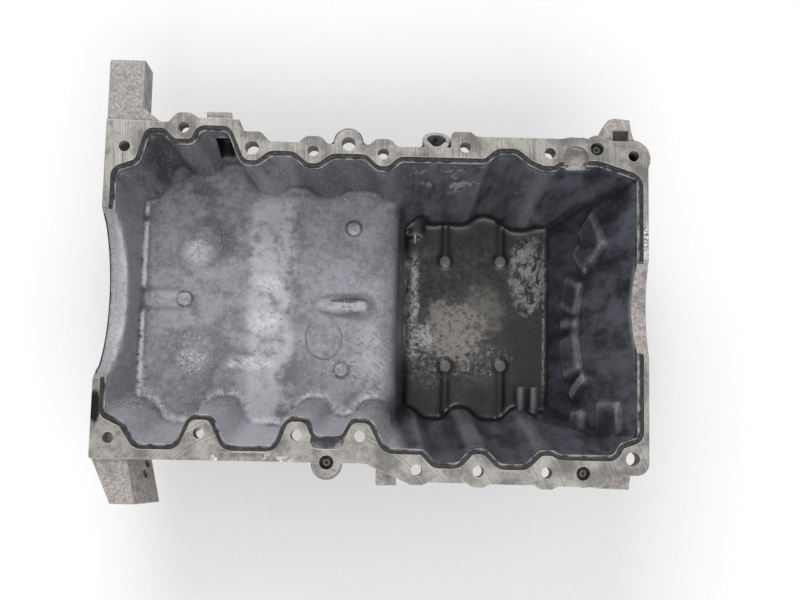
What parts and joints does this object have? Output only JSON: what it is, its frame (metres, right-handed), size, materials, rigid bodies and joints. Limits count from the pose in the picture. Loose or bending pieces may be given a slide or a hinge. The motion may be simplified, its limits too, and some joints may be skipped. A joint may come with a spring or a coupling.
{
  "type": "engine oil pan",
  "caption": "Cast aluminium engine oil pan: a shallow fluted tray that steps down into a deep sump, with a bolted joint flange, gearbox lugs and a drain plug.",
  "frame": {"origin": "on the joint face to the engine block, midway along and across the pan's mouth", "axes": "+Z out of the joint face towards the engine block, +X from the gearbox end to the front of the engine"},
  "size_m": [0.4364, 0.351, 0.155],
  "materials": {
    "cast_aluminium": "as cast and oil stained, with a milled joint face",
    "black_sealant": "satin",
    "black_steel": "blackened",
    "plated_steel": "plated",
    "soft_aluminium": "plain"
  },
  "bodies": {
    "root": {"pan_casting": "cast_aluminium", "sealant_bead": "black_sealant", "captive_bolts": "black_steel", "drain_plug": "plated_steel", "drain_washer": "soft_aluminium"}
  },
  "joints": []
}
